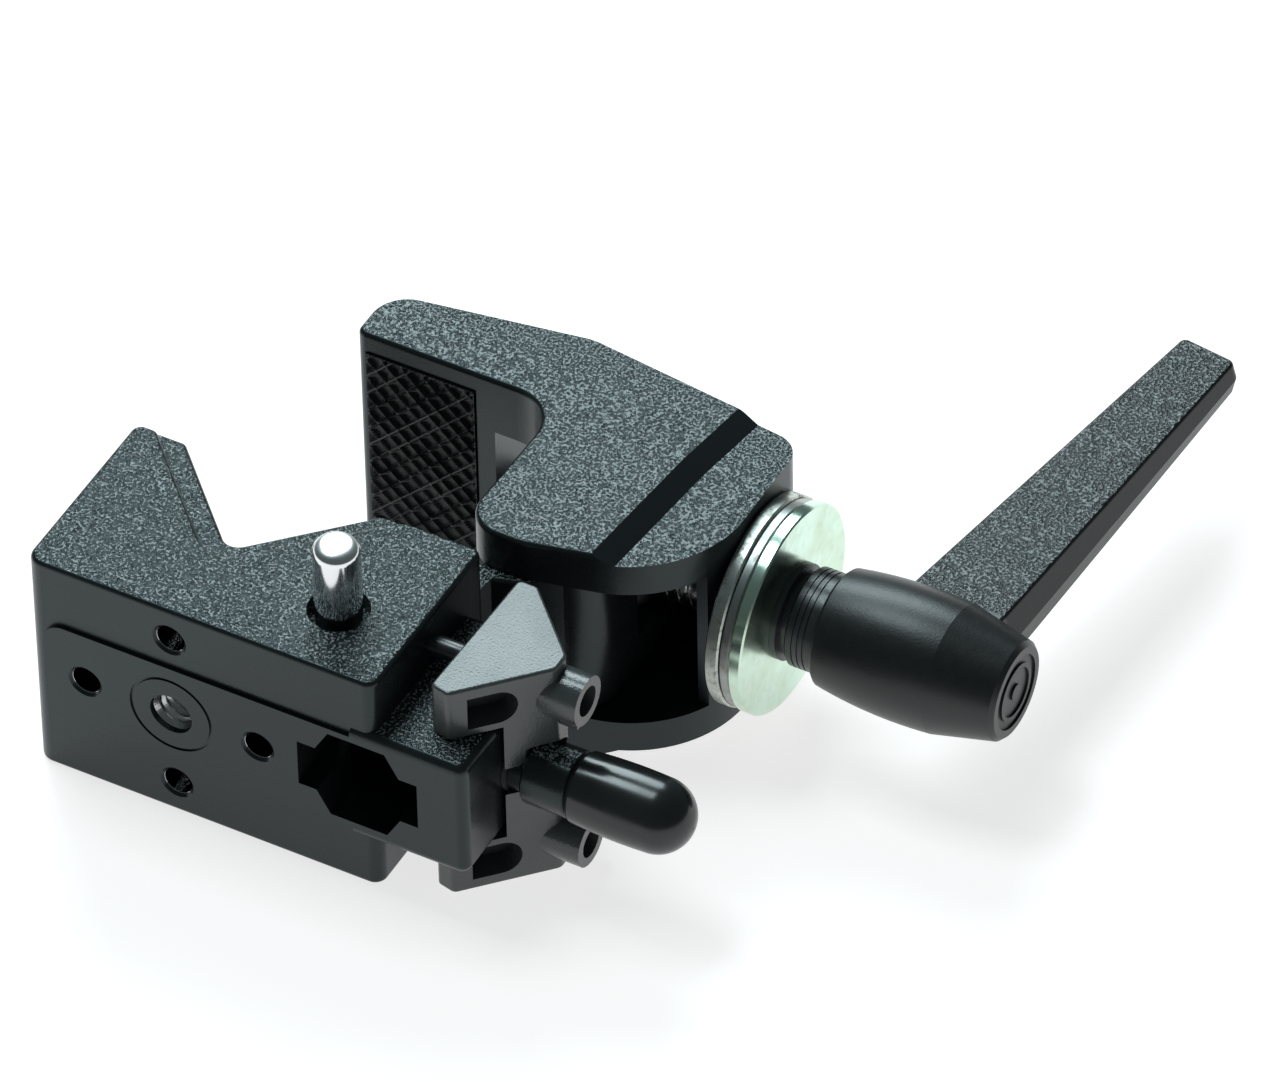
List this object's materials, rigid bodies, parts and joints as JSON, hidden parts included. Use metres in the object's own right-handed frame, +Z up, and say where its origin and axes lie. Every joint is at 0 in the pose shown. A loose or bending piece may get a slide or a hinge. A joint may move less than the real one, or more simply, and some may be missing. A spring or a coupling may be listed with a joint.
{
  "type": "super clamp",
  "caption": "Black cast clamp with a V jaw, a padded hook jaw, a screw with a lever handle, and a locking hexagonal stud socket.",
  "frame": {"origin": "centre of the hexagonal stud socket's mouth, on the front face", "axes": "+X along the clamp screw towards its handle, +Y from the front face into the jaws, +Z up along the jaw pivot"},
  "size_m": [0.13, 0.1374, 0.0537],
  "materials": {
    "cast_black": "fine textured black powder coat",
    "pad_rubber": "moulded black rubber with a diamond knurl",
    "yoke_black": "smooth satin black coat on a die casting",
    "black_steel": "black oxide steel",
    "bright_steel": "machined steel",
    "chrome_pin": "polished chrome plate",
    "zinc_plate": "bright zinc plate",
    "dark_washer": "dull zinc plate",
    "spring_steel": "drawn spring wire",
    "bronze_bush": "sintered bronze",
    "handle_black": "satin black coat on a die casting",
    "grip_plastic": "moulded black plastic",
    "cap_plastic": "moulded black plastic"
  },
  "bodies": {
    "v_jaw": {"v_jaw_casting": "cast_black", "thread_insert": "bright_steel", "pivot_bushes": "bronze_bush", "guide_screws": "black_steel", "button_spring": "spring_steel"},
    "body": {"body_casting": "cast_black", "jaw_pad": "pad_rubber", "pivot_pin": "bright_steel"},
    "nut": {"barrel_nut": "bright_steel"},
    "thrust_stack": {"bearing_washer": "dark_washer", "friction_washer": "dark_washer"},
    "handle": {"handle_casting": "handle_black", "clamp_screw": "bright_steel", "thrust_washer": "zinc_plate", "screw_collar": "black_steel", "handle_screw": "black_steel", "end_cap": "cap_plastic"},
    "button": {"release_button": "chrome_pin", "button_clip": "black_steel"},
    "yoke": {"lock_yoke": "yoke_black", "lock_barrel": "cast_black"},
    "knob": {"lock_knob": "grip_plastic", "lock_screw": "bright_steel", "lock_clip": "black_steel"}
  },
  "joints": [
    {"name": "jaw_pivot", "type": "hinge", "parent": "v_jaw", "child": "body", "pos_m": [0.0117, 0.045, 0], "axis": [0, 0, 1], "range_deg": [-16.6, 29.4]},
    {"name": "nut_swivel", "type": "hinge", "parent": "v_jaw", "child": "nut", "pos_m": [0.0093, 0.061, 0], "axis": [0, 0, 1], "range_deg": [-16.6, 29.4]},
    {"name": "screw_draw", "type": "slide", "parent": "nut", "child": "thrust_stack", "axis": [-1, 0, 0], "range_m": [-0.0046, 0.0081]},
    {"name": "handle_turn", "type": "hinge", "parent": "thrust_stack", "child": "handle", "pos_m": [0.0456, 0.061, 0], "axis": [-1, 0, 0], "range_deg": [-810, 1440]},
    {"name": "button_press", "type": "slide", "parent": "v_jaw", "child": "button", "axis": [0, 0, -1], "range_m": [0, 0.004], "stiffness_N_per_m": 600, "springref_m": -0.004, "deforming": ["button_spring"]},
    {"name": "yoke_slide", "type": "slide", "parent": "v_jaw", "child": "yoke", "axis": [1, 0, 0], "range_m": [0, 0.0025]},
    {"name": "knob_turn", "type": "hinge", "parent": "yoke", "child": "knob", "pos_m": [0.0284, 0.0148, 0], "axis": [1, 0, 0], "range_deg": [0, 901]}
  ],
  "couplings": [
    {"joint": "jaw_pivot", "follows": "handle_turn", "ratio": 0.020275},
    {"joint": "nut_swivel", "follows": "handle_turn", "ratio": 0.020275},
    {"joint": "screw_draw", "follows": "handle_turn", "m_per_rad": 0.00031831},
    {"joint": "knob_turn", "follows": "yoke_slide", "rad_per_m": 6283.2}
  ]
}
